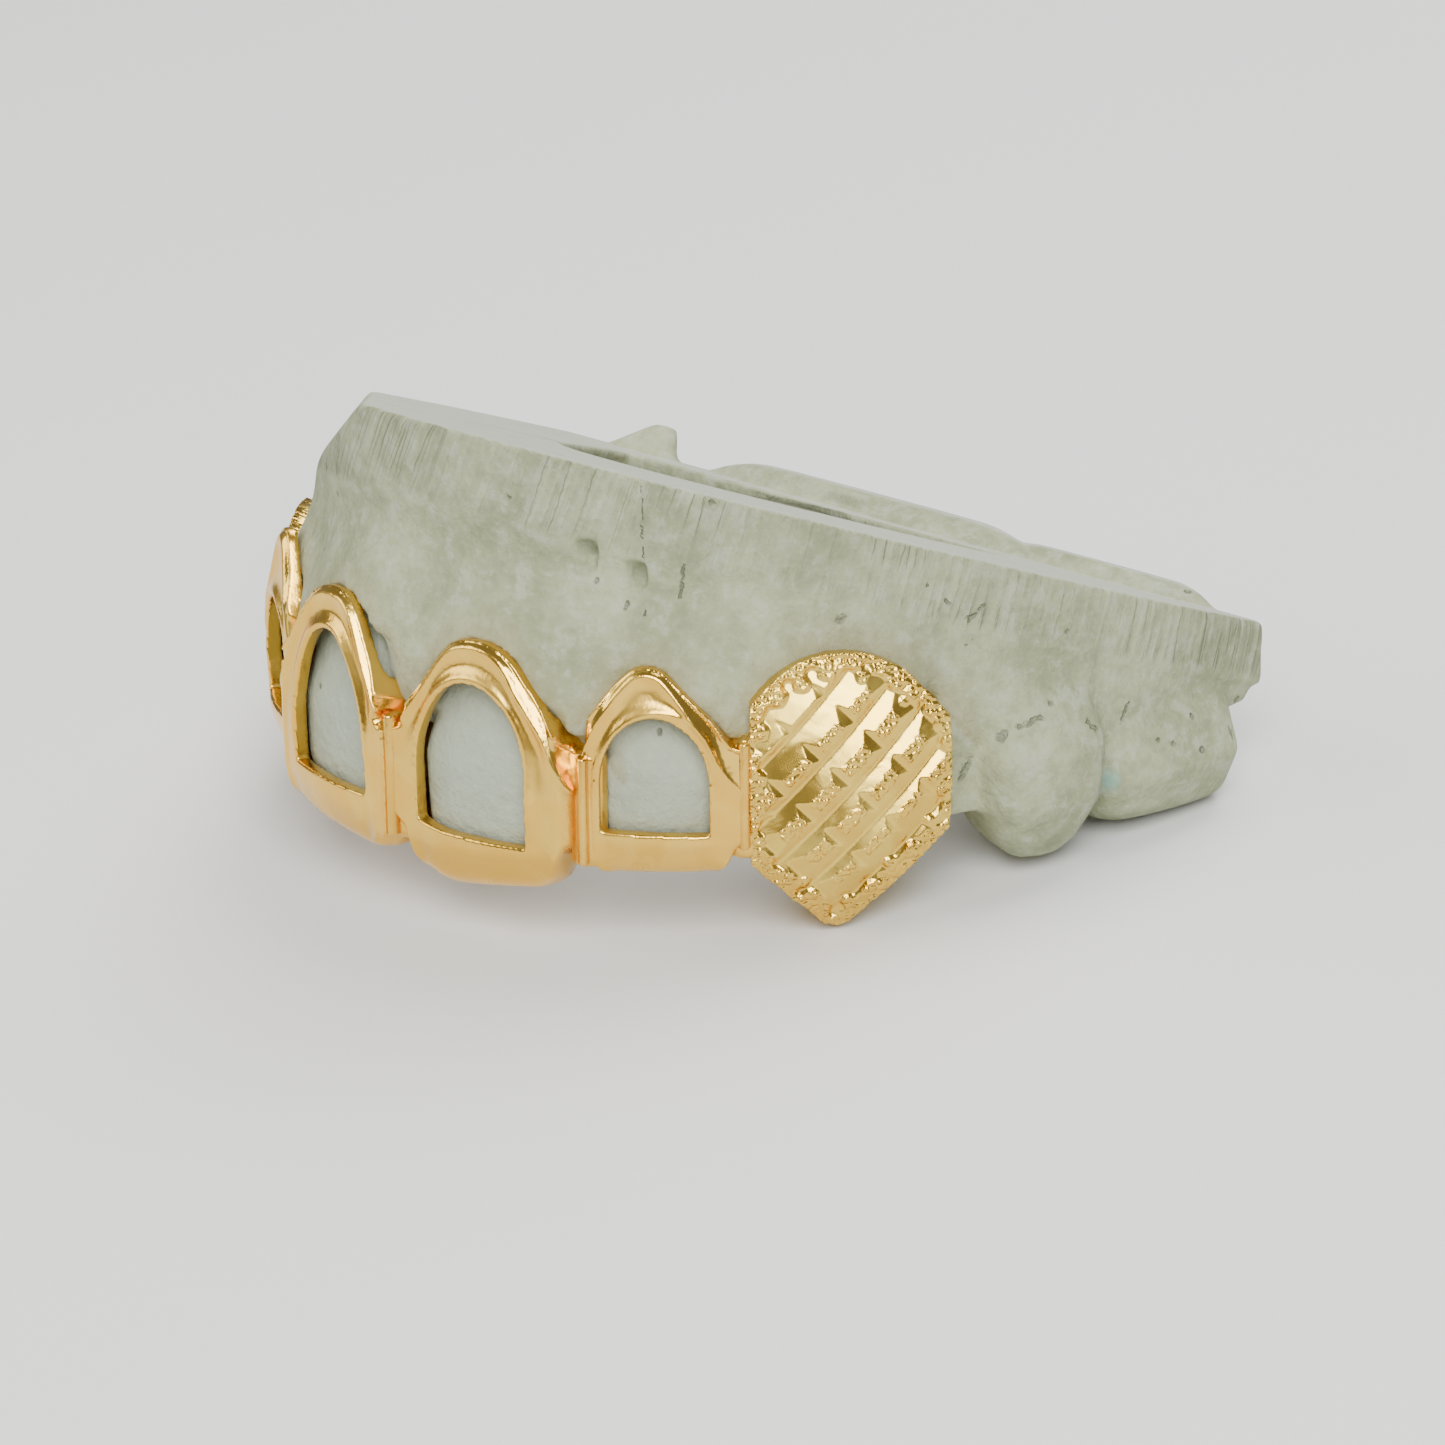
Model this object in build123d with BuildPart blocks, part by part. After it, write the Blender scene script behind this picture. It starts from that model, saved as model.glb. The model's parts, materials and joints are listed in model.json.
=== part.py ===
import math
import os

from build123d import *

os.makedirs("parts", exist_ok=True)

# Six gold caps for the upper front teeth, soldered into one piece, on the plaster cast they
# were made over. Everything is drawn in the frame of the mouth: X to the left side of the
# mouth, Y towards the throat, Z up from the biting edges of the front teeth. The right side
# is drawn as a left one with its own measures and mirrored, and at the end both pieces are
# tipped to stand on their teeth.

# Dental arch, an ellipse along the front faces of the teeth
arch_half_width = 23.2
arch_length = 30.7

# Wall of the caps, and the clearance between metal and plaster
wall = 0.6
fit_gap = 0.15
clear_wall = wall + fit_gap

# Widths of the caps and of the bare teeth along the arch
central_width = 9.0
lateral_width = 6.9
canine_width = 9.1
web_width = 1.9
premolar_width = 6.2
molar_width = 8.4

# What differs between the left side and the right: how far the caps stand out from the arch,
# how much higher the incisors sit, the fall and lean of the central biting edge, the turn of
# the lateral, and the head of the central window as a share of its height
left_side = {
    "central_out": 0.7, "lateral_out": 0.45, "canine_out": 0.45,
    "central_raise": 0.0, "lateral_raise": 0.0, "central_drop": 0.35, "edge_lean": 8.0,
    "lateral_turn": 37.0, "central_head": 0.57,
}
right_side = {
    "central_out": 1.1, "lateral_out": 1.1, "canine_out": 0.85,
    "central_raise": 0.7, "lateral_raise": 0.5, "central_drop": 0.5, "edge_lean": 3.0,
    "lateral_turn": 32.0, "central_head": 0.85,
}

# Biting edges above the datum, full heights of the crowns, and their depths at the neck
lateral_lift = 1.0
canine_lift = -1.95
premolar_lift = -0.15
molar_lift = 0.35
central_height = 10.7
lateral_height = 9.2
canine_height = 12.7
premolar_height = 8.1
molar_height = 5.8
central_depth = 7.0
lateral_depth = 6.6
canine_depth = 7.8
premolar_depth = 8.6
molar_depth = 9.2

# Angles of the front faces from the midline, and the slope of the lateral biting edge
central_turn = 11.0
canine_turn = 56.5
premolar_turn = 69.5
molar_turn = 78.0
lateral_edge_lean = 2.0

# Windows in the four open-faced caps
central_window_width = 5.6
central_window_height = 6.7
central_window_shift = -0.35
central_window_lean = 0.0
central_sill = 2.05
lateral_window_width = 4.6
lateral_window_height = 5.0
lateral_window_shift = -0.55
lateral_window_lean = -5.0
lateral_sill = 3.0
lateral_head = 0.57
window_cut = 2.4

# Solder bars between the caps
solder_width = 0.9
solder_top = 6.7

# Canine face: a ball-shaped front, a pointed biting edge and crossed V grooves
face_radius = 16.0
face_height = 4.8
tip_shift = 0.45
tip_rounding = 0.8
mesial_edge_slope = 43.0
distal_edge_slope = 44.0
groove_depth = 0.27
groove_width = 1.2
groove_pitch = 1.75
cross_pitch = 2.1

# Cast: ground base, the crease where it meets the natural gum, and the gum itself
base_front_height = 19.7
base_slope = 19.8
base_roll = 1.1
base_setback = 1.5
cast_skew = 0.35
crease_front_height = 15.6
crease_slope = 18.6
cast_length = 31.9
back_step = 0.4
ridge_bottom = 6.9
gum_bottom = 4.1
ridge_back = 11.5
gum_front = 15.5
crease_overlap = 0.3

# Bar of plaster across the back of the palate
bar_depth = 5.6
bar_bottom = 4.9

# Web of plaster between the canine cap and the first bare tooth
web_setback = 1.9
web_depth = 5.2
web_bottom = 2.3

# Lumps of unground plaster on the far side of the top: swells along the back, and a spur
swell_rows = [
    # x, y, half_length, half_width, height
    (0.5, 29.5, 11.5, 2.2, 1.1),
    (14.0, 30.1, 6.8, 1.6, 0.8),
]
spur_spot = (-15.0, 29.4)
spur_height = 1.6
lump_sink = 0.6

# How far the necks of the stumps draw in under the gum, as a share of the depth
neck_tuck = 0.4
canine_tuck_share = 0.8

# Tilt of the mouth frame when the cast stands on the tips of its teeth
rest_tilt = 6.7


# Places along the arch, measured from the midline to the middle of each tooth
central_spot = central_width / 2
lateral_spot = central_width + lateral_width / 2
canine_spot = central_width + lateral_width + canine_width / 2
web_spot = canine_spot + canine_width / 2 + web_width / 2
premolar_spot = web_spot + web_width / 2 + premolar_width / 2
molar_spot = premolar_spot + premolar_width / 2 + molar_width / 2

with BuildLine() as arch:
    EllipticalCenterArc((0, arch_length), arch_half_width, arch_length, start_angle=270, arc_size=90)
arch_edge = arch.line.edge()


def tooth_plane(distance, turn, setback):
    """Plane on the arch: local X along the row, away from the midline, local Y inwards, Z up."""
    angle = math.radians(turn)
    inward = Vector(-math.sin(angle), math.cos(angle), 0)
    spot = arch_edge @ (distance / arch_edge.length) + inward * setback
    return Plane(origin=spot, x_dir=(math.cos(angle), math.sin(angle), 0), z_dir=(0, 0, 1))


def front_plane(plane):
    """Upright plane on the front of a tooth: local X along the row, local Y up, Z outwards."""
    return Plane(origin=plane.origin, x_dir=plane.x_dir, z_dir=-plane.y_dir)


def level_plane(plane, height, lean):
    """Tooth plane raised to a height and leaned up away from the midline."""
    angle = math.radians(lean)
    along = plane.x_dir * math.cos(angle) + Vector(0, 0, 1) * math.sin(angle)
    return Plane(origin=plane.origin + Vector(0, 0, height), x_dir=along, z_dir=along.cross(plane.y_dir))


premolar_plane = tooth_plane(premolar_spot, premolar_turn, 0)
molar_plane = tooth_plane(molar_spot, molar_turn, 0)

# Crown forms. Each row: height as a share of the crown, width as a share of the tooth, front
# and back as shares of the depth, width of the back and bulge of the front as shares of the
# tooth, and how much of the lean of the biting edge is left
incisor_form = [
    # height, width, front, back, back_width, bulge, lean
    (0.00, 0.78, 0.14, 0.58, 0.64, 0.04, 1.0),
    (0.05, 0.90, 0.06, 0.60, 0.72, 0.05, 0.9),
    (0.16, 0.98, 0.01, 0.63, 0.76, 0.065, 0.6),
    (0.45, 1.00, 0.00, 0.76, 0.72, 0.07, 0.0),
    (0.80, 0.97, 0.04, 0.92, 0.66, 0.075, 0.0),
    (1.20, 0.88, 0.20, 1.00, 0.58, 0.08, 0.0),
]
canine_form = [
    # height, width, front, back, back_width, bulge, lean
    (0.00, 0.96, -0.10, 0.52, 0.66, 0.05, 0.0),
    (0.25, 1.00, -0.10, 0.68, 0.72, 0.05, 0.0),
    (0.60, 1.00, -0.10, 0.92, 0.70, 0.05, 0.0),
    (1.20, 0.97, -0.10, 1.00, 0.64, 0.05, 0.0),
]
premolar_form = [
    # height, width, front, back, back_width, bulge, lean
    (0.00, 0.36, 0.20, 0.52, 0.34, 0.04, 0.0),
    (0.10, 0.62, 0.12, 0.66, 0.56, 0.06, 0.0),
    (0.32, 0.94, 0.03, 0.84, 0.76, 0.10, 0.0),
    (0.60, 1.00, 0.01, 0.94, 0.80, 0.12, 0.0),
    (0.90, 0.90, 0.14, 0.97, 0.76, 0.12, 0.0),
    (1.25, 0.70, 0.38, 1.00, 0.60, 0.10, 0.0),
]
molar_form = [
    # height, width, front, back, back_width, bulge, lean
    (0.00, 0.78, 0.22, 0.72, 0.62, 0.03, 0.0),
    (0.10, 0.94, 0.13, 0.84, 0.78, 0.05, 0.0),
    (0.42, 1.00, 0.05, 0.96, 0.86, 0.07, 0.0),
    (0.75, 0.98, 0.13, 0.98, 0.84, 0.07, 0.0),
    (1.30, 0.88, 0.40, 1.00, 0.76, 0.06, 0.0),
]


def crown(form, plane, width, height, depth, lift, lean, inset, corner, tuck=0):
    """Loft a crown through its rows; a positive inset shrinks every side, a negative one grows,
    and tuck draws the front and the sides of the neck inwards."""
    with BuildPart() as body:
        for share, wide, front, back, back_wide, bulge, leaning in form:
            level = lift + height * share + inset * max(1 - share, 0)
            drawn_in = depth * tuck * max(share - 0.6, 0)
            half = width * wide / 2 - inset - drawn_in * 0.8
            half_back = width * back_wide / 2 - inset - drawn_in * 0.3
            near = depth * front + inset + drawn_in
            far = depth * back - inset
            sag = min(width * bulge, (far - near) * 0.25)
            side = math.hypot(half - half_back, far - near - 2 * sag)
            with BuildSketch(level_plane(plane, level, lean * leaning)):
                with BuildLine():
                    ThreePointArc((-half, near + sag), (0, near), (half, near + sag))
                    Line((half, near + sag), (half_back, far - sag))
                    ThreePointArc((half_back, far - sag), (0, far), (-half_back, far - sag))
                    Line((-half_back, far - sag), (-half, near + sag))
                make_face()
                fillet(vertices(), max(min(corner * wide - inset, side * 0.4), 0.1))
        loft(ruled=True)
    return body.part


def central_crown(side, inset, tuck=0):
    plane = tooth_plane(central_spot, central_turn, -side["central_out"])
    return crown(
        incisor_form, plane, central_width, central_height + side["central_drop"], central_depth,
        side["central_raise"] - side["central_drop"], side["edge_lean"], inset, 1.35, tuck,
    )


def lateral_crown(side, inset, tuck=0):
    plane = tooth_plane(lateral_spot, side["lateral_turn"], -side["lateral_out"])
    return crown(
        incisor_form, plane, lateral_width, lateral_height, lateral_depth,
        lateral_lift + side["lateral_raise"], lateral_edge_lean, inset, 1.1, tuck,
    )


def ball_middle(plane):
    """Middle of the ball that shapes the canine face."""
    return plane.origin + plane.y_dir * face_radius + Vector(0, 0, face_height)


def canine_crown(side, inset, tuck=0):
    """The canine has a domed front cut from a ball and a biting edge that comes to a point."""
    plane = tooth_plane(canine_spot, canine_turn, -side["canine_out"])
    reach = 9
    mesial_rise = (reach - tip_shift) * math.tan(math.radians(mesial_edge_slope))
    distal_rise = (reach + tip_shift) * math.tan(math.radians(distal_edge_slope))
    blank = crown(
        canine_form, plane, canine_width, canine_height, canine_depth, canine_lift,
        0, inset, 0.9, tuck,
    )
    with BuildPart() as body:
        add(blank)
        with Locations(ball_middle(plane)):
            Sphere(face_radius - inset, mode=Mode.INTERSECT)
        with BuildSketch(front_plane(plane)):
            with BuildLine():
                Polyline(
                    (-reach, canine_lift + mesial_rise), (-tip_shift, canine_lift),
                    (reach, canine_lift + distal_rise), (reach, 20), (-reach, 20), close=True,
                )
            make_face()
            fillet(vertices().sort_by(Axis.Y)[0], tip_rounding)
            if inset != 0:
                offset(amount=-inset, mode=Mode.REPLACE)
        extrude(amount=20, both=True, mode=Mode.INTERSECT)
    return body.part


# V grooves of the canine face; the cross cuts are lighter
groove_rows = [
    # lean, pitch, grooves each side of the middle, share of the width and depth
    (46, groove_pitch, 3, 1.0),
    (-44, cross_pitch, 2, 0.62),
]


def diamond_cut(face, plane):
    """Turn each groove round the middle of the ball, so its depth is even over the dome."""
    cut_out = 0.6
    middle = ball_middle(plane)
    with BuildPart() as cut:
        add(face)
        for lean, pitch, count, size in groove_rows:
            spread = groove_width * size / 2 + groove_width / 2 * cut_out / groove_depth
            angle = math.radians(lean)
            along = plane.x_dir * math.cos(angle) + Vector(0, 0, 1) * math.sin(angle)
            across = plane.y_dir.cross(along)
            wheel = Plane(origin=middle, x_dir=across, z_dir=along)
            outward = -1 if wheel.y_dir.dot(plane.y_dir) > 0 else 1
            for step in range(-count, count + 1):
                place = step * pitch
                reach = math.sqrt(face_radius**2 - place**2)
                with BuildSketch(wheel):
                    with BuildLine():
                        Polyline(
                            (place - spread, outward * (reach + cut_out)),
                            (place + spread, outward * (reach + cut_out)),
                            (place, outward * (reach - groove_depth * size)),
                            close=True,
                        )
                    make_face()
                revolve(axis=Axis(middle, across), revolution_arc=360, mode=Mode.SUBTRACT)
    return cut.part


# Gum edge of each cap: sharp peak, its shift from the middle, angle of the flanks, rounding
central_margin = (11.9, -0.3, 47.0, 2.9)
lateral_margin = (10.55, -0.6, 44.0, 1.3)
canine_margin = (12.7, -0.4, 48.0, 4.5)


def under_margin(part, plane, margin, raised, grow):
    """Trim a crown to the scalloped line along the gum: two straight flanks, rounded peak."""
    peak, shift, flank, rounding = margin
    top = peak + raised + grow / math.cos(math.radians(flank))
    shoulder = top - 9 * math.tan(math.radians(flank))
    with BuildPart() as trimmed:
        add(part)
        with BuildSketch(front_plane(plane)):
            with BuildLine():
                Polyline(
                    (shift - 9, -9), (shift + 9, -9), (shift + 9, shoulder),
                    (shift, top), (shift - 9, shoulder), close=True,
                )
            make_face()
            fillet(vertices().sort_by(Axis.Y)[-1], rounding + grow)
        extrude(amount=20, both=True, mode=Mode.INTERSECT)
    return trimmed.part


# Solder bars: place along the arch, turn, setback, width, bottom and top
solder_rows = [
    (0, 0, 0.3, solder_width * 1.4, 1.0, solder_top),
    (central_width, 25, 0.45, solder_width * 1.2, 1.7, solder_top + 0.2),
    (central_width + lateral_width, 47, 0.6, solder_width * 1.2, 2.4, solder_top + 0.4),
]


def solder_bar(distance, turn, setback, width, bottom, top, grow):
    with BuildPart() as bar:
        with BuildSketch(tooth_plane(distance, turn, setback).offset(bottom - grow)):
            Circle(width / 2 + grow)
        extrude(amount=top - bottom + 2 * grow)
    return bar.part


def outer_caps(side, grow):
    """Outside of three caps and their solder; grow gives the space they need."""
    central_plane = tooth_plane(central_spot, central_turn, -side["central_out"])
    lateral_plane = tooth_plane(lateral_spot, side["lateral_turn"], -side["lateral_out"])
    canine_plane = tooth_plane(canine_spot, canine_turn, -side["canine_out"])
    face = canine_crown(side, -grow)
    if grow == 0:
        face = diamond_cut(face, canine_plane)
    central = under_margin(
        central_crown(side, -grow), central_plane, central_margin, side["central_raise"], grow,
    )
    lateral = under_margin(
        lateral_crown(side, -grow), lateral_plane, lateral_margin, side["lateral_raise"], grow,
    )
    canine = under_margin(face, canine_plane, canine_margin, 0, grow)
    bars = [solder_bar(*row, grow) for row in solder_rows]
    with BuildPart() as caps:
        add(central)
        add(lateral)
        add(canine)
        add(bars)
    return caps.part


def hollows(side, inset, tuck=0):
    """Insides of three caps, or the stumps that fill them and tuck in under the gum."""
    central = central_crown(side, inset, tuck)
    lateral = lateral_crown(side, inset, tuck)
    canine = canine_crown(side, inset, tuck * canine_tuck_share)
    with BuildPart() as inside:
        add(central)
        add(lateral)
        add(canine)
    return inside.part


def window(plane, lean, shift, sill, width, height, head_share):
    """Open face: straight sill and sides under a half-oval head, leaned a little."""
    head = height * head_share
    spring = sill + height - head
    left = shift - width / 2
    right = shift + width / 2
    with BuildPart() as opening:
        with BuildSketch(front_plane(plane).offset(3).rotated((0, 0, lean))):
            with BuildLine():
                Polyline((left, spring), (left, sill), (right, sill), (right, spring))
                EllipticalCenterArc((shift, spring), width / 2, head, start_angle=0, arc_size=180)
            make_face()
        extrude(amount=-3 - window_cut)
    return opening.part


def finished_caps(side):
    """Three caps: their outside, less the hollows and the two open faces."""
    central_plane = tooth_plane(central_spot, central_turn, -side["central_out"])
    lateral_plane = tooth_plane(lateral_spot, side["lateral_turn"], -side["lateral_out"])
    outside = outer_caps(side, 0)
    inside = hollows(side, wall)
    central_window = window(
        central_plane, central_window_lean, central_window_shift,
        central_sill + side["central_raise"], central_window_width, central_window_height,
        side["central_head"],
    )
    lateral_window = window(
        lateral_plane, lateral_window_lean, lateral_window_shift,
        lateral_sill + side["lateral_raise"], lateral_window_width, lateral_window_height,
        lateral_head,
    )
    with BuildPart() as caps:
        add(outside)
        add(inside, mode=Mode.SUBTRACT)
        add(central_window, mode=Mode.SUBTRACT)
        add(lateral_window, mode=Mode.SUBTRACT)
    return caps.part


left_caps = finished_caps(left_side)
right_caps = finished_caps(right_side)

with BuildPart() as mouth_caps:
    add(left_caps)
    mirror(right_caps, about=Plane.YZ)


# Ground top of the cast, a plane that falls towards the throat and leans a little sideways
top_normal = Vector(math.tan(math.radians(base_roll)), math.tan(math.radians(base_slope)), 1)


def top_height(x, y):
    return base_front_height - (x * top_normal.X + y * top_normal.Y) / top_normal.Z


def top_plane(x, y, sink):
    """Plane on the ground top at a place seen from above, sunk a little into the plaster."""
    spot = Vector(x, y, top_height(x, y))
    return Plane(origin=spot, x_dir=(1, 0, -top_normal.X), z_dir=top_normal).offset(-sink)


def crease_height(y):
    """Line where the ground wall meets the natural gum."""
    return crease_front_height - y * math.tan(math.radians(crease_slope))


def arch_oval(side, front):
    """Oval along the arch, set back by one amount at the sides and another at the front."""
    with Locations((-cast_skew, arch_length)):
        Ellipse(arch_half_width + cast_skew - side, arch_length - front)


# Ground wedge: upright walls round the arch, flat back, sloping top, one corner ground off
corner_spot = (-12.65, 7.9, 14.85)
corner_normal = (-0.624, -0.469, 0.625)

with BuildPart() as wedge:
    with BuildSketch():
        arch_oval(base_setback, base_setback)
    extrude(amount=25)
    with BuildSketch(Plane.YZ):
        with BuildLine():
            Polyline(
                (-1, crease_height(-1)), (cast_length, crease_height(cast_length)),
                (cast_length, 24), (-1, 24), close=True,
            )
        make_face()
    extrude(amount=30, both=True, mode=Mode.INTERSECT)
    with BuildSketch(top_plane(0, 15, 0)):
        Rectangle(70, 70)
    extrude(amount=30, mode=Mode.SUBTRACT)
    with BuildSketch(Plane(origin=corner_spot, z_dir=corner_normal)):
        Rectangle(40, 40)
    extrude(amount=12, mode=Mode.SUBTRACT)

# Each lump is lofted from a wide foot to a small crest
with BuildPart() as lumps:
    for x, y, half_length, half_width, height in swell_rows:
        with BuildSketch(top_plane(x, y, lump_sink)):
            Ellipse(half_length, half_width)
        with BuildSketch(top_plane(x, y, -height * 0.55)):
            Ellipse(half_length * 0.8, half_width * 0.77)
        with BuildSketch(top_plane(x, y, -height)):
            Ellipse(half_length * 0.5, half_width * 0.45)
        loft()
    with BuildSketch(top_plane(*spur_spot, lump_sink)):
        Ellipse(2.8, 1.5)
    with BuildSketch(top_plane(spur_spot[0] + 1.1, spur_spot[1] + 0.6, -spur_height)):
        Ellipse(0.7, 0.4)
    loft()

# Gum: ovals along the arch. Rows: height, setback at the sides, setback at the front
gum_rows = [
    (gum_bottom, 2.1, 1.9),
    (ridge_bottom, 1.68, 0.95),
    (9.5, 1.75, 1.0),
    (12.5, 1.75, 1.7),
    (17.0, 1.65, 1.65),
]

with BuildPart() as gum:
    for height, side, front in gum_rows:
        with BuildSketch(Plane.XY.offset(height)):
            arch_oval(side, front)
    loft()
    gum_end = cast_length - back_step
    with BuildSketch(Plane.YZ):
        with BuildLine():
            Polyline(
                (-1, ridge_bottom), (ridge_back, ridge_bottom), (gum_front, gum_bottom),
                (gum_end, gum_bottom), (gum_end, crease_height(gum_end) + crease_overlap),
                (-1, crease_height(-1) + crease_overlap), close=True,
            )
        make_face()
    extrude(amount=30, both=True, mode=Mode.INTERSECT)

# Palate: the hollow inside the teeth, open below and behind and ground through at the top,
# with a bar of plaster left across the back. Rows: height, setback at the sides and front
palate_rows = [
    (-3.0, 9.0, 7.6),
    (ridge_bottom, 9.8, 9.0),
    (11.0, 11.8, 11.6),
    (22.0, 13.0, 13.5),
]

with BuildPart() as palate:
    for height, side, front in palate_rows:
        with BuildSketch(Plane.XY.offset(height)):
            arch_oval(side, front)
    loft()
    with BuildSketch(Plane.XY.offset(bar_bottom)):
        with Locations((0, cast_length - bar_depth / 2 + 5)):
            Rectangle(60, bar_depth + 10)
    extrude(amount=20, mode=Mode.SUBTRACT)

# Bare teeth, and the web of plaster between the canine cap and the first of them
premolar = crown(
    premolar_form, premolar_plane, premolar_width, premolar_height, premolar_depth,
    premolar_lift, 0, 0, 1.6,
)
molar = crown(
    molar_form, molar_plane, molar_width, molar_height, molar_depth, molar_lift, 0, 0, 1.8,
)

with BuildPart() as left_teeth:
    add(premolar)
    add(molar)
    with BuildSketch(tooth_plane(web_spot, 63, web_setback).offset(web_bottom)):
        with Locations((0, web_depth / 2)):
            Rectangle(web_width + 2.0, web_depth)
    extrude(amount=gum_bottom + 4 - web_bottom)

# Chips in the front wall of the base. Rows: place of the middle, radius
dent_rows = [
    (8.1, 3.4, 14.5, 0.45),
    (9.8, 4.4, 13.9, 0.45),
]

# Space the caps need on each side, and the stumps that fill them
left_space = outer_caps(left_side, fit_gap)
right_space = outer_caps(right_side, fit_gap)
left_stumps = hollows(left_side, clear_wall, neck_tuck)
right_stumps = hollows(right_side, clear_wall, neck_tuck)

# Cast: base, gum and bare teeth, with the space for the caps cut away and the stumps put in
with BuildPart() as cast:
    add(wedge.part)
    add(lumps.part)
    add(gum.part)
    add(left_teeth.part)
    mirror(left_teeth.part, about=Plane.YZ)
    add(palate.part, mode=Mode.SUBTRACT)
    add(left_space, mode=Mode.SUBTRACT)
    mirror(right_space, about=Plane.YZ, mode=Mode.SUBTRACT)
    add(left_stumps)
    mirror(right_stumps, about=Plane.YZ)
    for x, y, z, radius in dent_rows:
        with Locations((x, y, z)):
            Sphere(radius, mode=Mode.SUBTRACT)

# Stand the two pieces on their teeth, with the middle of the pair over the origin
tipped = [piece.rotate(Axis.X, -rest_tilt).bounding_box() for piece in (mouth_caps.part, cast.part)]
front_side = min(box.min.Y for box in tipped)
back_side = max(box.max.Y for box in tipped)
lowest = min(box.min.Z for box in tipped)
back_shift = -(front_side + back_side) / 2
rest = Location((0, back_shift, -lowest)) * Location((0, 0, 0), (-rest_tilt, 0, 0))

with BuildPart() as tooth_covers:
    add(mouth_caps.part.moved(rest))

with BuildPart() as dental_cast:
    add(cast.part.moved(rest))

tooth_covers.part.label = "tooth_covers"
dental_cast.part.label = "dental_cast"
export_step(tooth_covers.part, "parts/tooth_covers.step")
export_step(dental_cast.part, "parts/dental_cast.step")
print(f"moved back {back_shift:.4f} and up {-lowest:.4f}")
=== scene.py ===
import json
import math

import bpy
import numpy as np
from mathutils import Matrix, Vector

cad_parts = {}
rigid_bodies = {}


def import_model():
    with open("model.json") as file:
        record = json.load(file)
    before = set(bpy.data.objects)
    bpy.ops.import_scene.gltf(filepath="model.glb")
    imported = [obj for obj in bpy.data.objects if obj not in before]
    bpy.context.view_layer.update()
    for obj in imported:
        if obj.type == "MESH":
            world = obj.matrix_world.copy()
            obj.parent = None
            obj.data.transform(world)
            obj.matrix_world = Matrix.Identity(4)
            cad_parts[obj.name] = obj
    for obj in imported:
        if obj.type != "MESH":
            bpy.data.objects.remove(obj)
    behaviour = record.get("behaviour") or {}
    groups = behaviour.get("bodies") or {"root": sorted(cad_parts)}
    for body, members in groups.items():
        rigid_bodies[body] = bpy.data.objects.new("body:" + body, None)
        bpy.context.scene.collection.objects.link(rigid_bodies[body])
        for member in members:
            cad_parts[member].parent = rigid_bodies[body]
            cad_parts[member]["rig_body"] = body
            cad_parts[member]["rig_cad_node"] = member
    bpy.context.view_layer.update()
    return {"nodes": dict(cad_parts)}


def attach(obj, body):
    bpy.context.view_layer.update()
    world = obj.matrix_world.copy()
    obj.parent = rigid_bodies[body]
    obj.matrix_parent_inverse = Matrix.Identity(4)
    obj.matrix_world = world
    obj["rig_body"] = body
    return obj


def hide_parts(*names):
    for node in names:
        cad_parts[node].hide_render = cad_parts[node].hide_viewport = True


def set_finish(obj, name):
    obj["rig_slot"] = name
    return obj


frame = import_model()

# Camera. It sees the piece from the front left, a little above, as the photograph does. The
# lens was fitted in the frame of the mouth, where the biting edges lie level; the cast stands
# on its tooth tips, so that frame is tipped back and raised. All fitted lengths are in mm.
mm = 0.001
mouth_tilt = math.radians(6.7)
mouth_shift = Vector((0, -16.0842, 3.0711))
mouth_turn = Matrix.Rotation(-mouth_tilt, 3, "X")
photo_size = 1445
focal_pixels = 4059.28
view_azimuth = math.radians(44.54)
view_height = math.radians(18.12)
view_roll = math.radians(-0.62)
view_distance = 177.33
view_target = Vector((4, 12, 7))
aim_right = 2.53
aim_up = -2.8


def from_mouth(point):
    """Place in the frame of the mouth, in mm, to the place in the scene, in metres."""
    return (mouth_turn @ Vector(point) + mouth_shift) * mm


backward = Vector((
    math.sin(view_azimuth) * math.cos(view_height),
    -math.cos(view_azimuth) * math.cos(view_height),
    math.sin(view_height),
))
rightward = Vector((math.cos(view_azimuth), math.sin(view_azimuth), 0))
upward = backward.cross(rightward)
eye = view_target + backward * view_distance
aim = view_target + rightward * aim_right + upward * aim_up
look = (aim - eye).normalized()
side = look.cross(upward).normalized()
top = side.cross(look)
axes = Matrix((mouth_turn @ side, mouth_turn @ top, mouth_turn @ -look)).transposed()
axes = axes @ Matrix.Rotation(view_roll, 3, "Z")

camera_data = bpy.data.cameras.new("camera")
camera_data.lens_unit = "FOV"
camera_data.angle = 2 * math.atan(photo_size / 2 / focal_pixels)
camera_data.clip_start = 0.01
camera_data.clip_end = 10
camera = bpy.data.objects.new("camera", camera_data)
camera.matrix_world = Matrix.Translation(from_mouth(eye)) @ axes.to_4x4()
bpy.context.scene.collection.objects.link(camera)
bpy.context.scene.camera = camera

# Floor. A plain pale sheet of matt paper that lies flat under the piece and runs out of view on
# every side.
floor_reach = 0.9

bpy.ops.object.select_all(action="DESELECT")
bpy.ops.mesh.primitive_plane_add(size=2 * floor_reach, location=(0, 0, 0))
floor = bpy.context.active_object
floor.name = "floor"
floor_paint = bpy.data.materials.new("pale_floor")
floor_paint.use_nodes = True
floor_shader = floor_paint.node_tree.nodes["Principled BSDF"]
floor_shader.inputs["Base Color"].default_value = (0.70, 0.70, 0.69, 1)
floor_shader.inputs["Roughness"].default_value = 0.8
floor.data.materials.append(floor_paint)

# Light. A dim pale room and three soft boxes: the main one high on the right of the camera, so
# that the bevels of the gold along the gum catch it, a weaker one on the left, one high behind.
room = bpy.data.worlds.new("pale_room")
room.use_nodes = True
room_light = room.node_tree.nodes["Background"]
room_light.inputs["Color"].default_value = (0.84, 0.83, 0.80, 1)
room_light.inputs["Strength"].default_value = 0.30
bpy.context.scene.world = room

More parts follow.
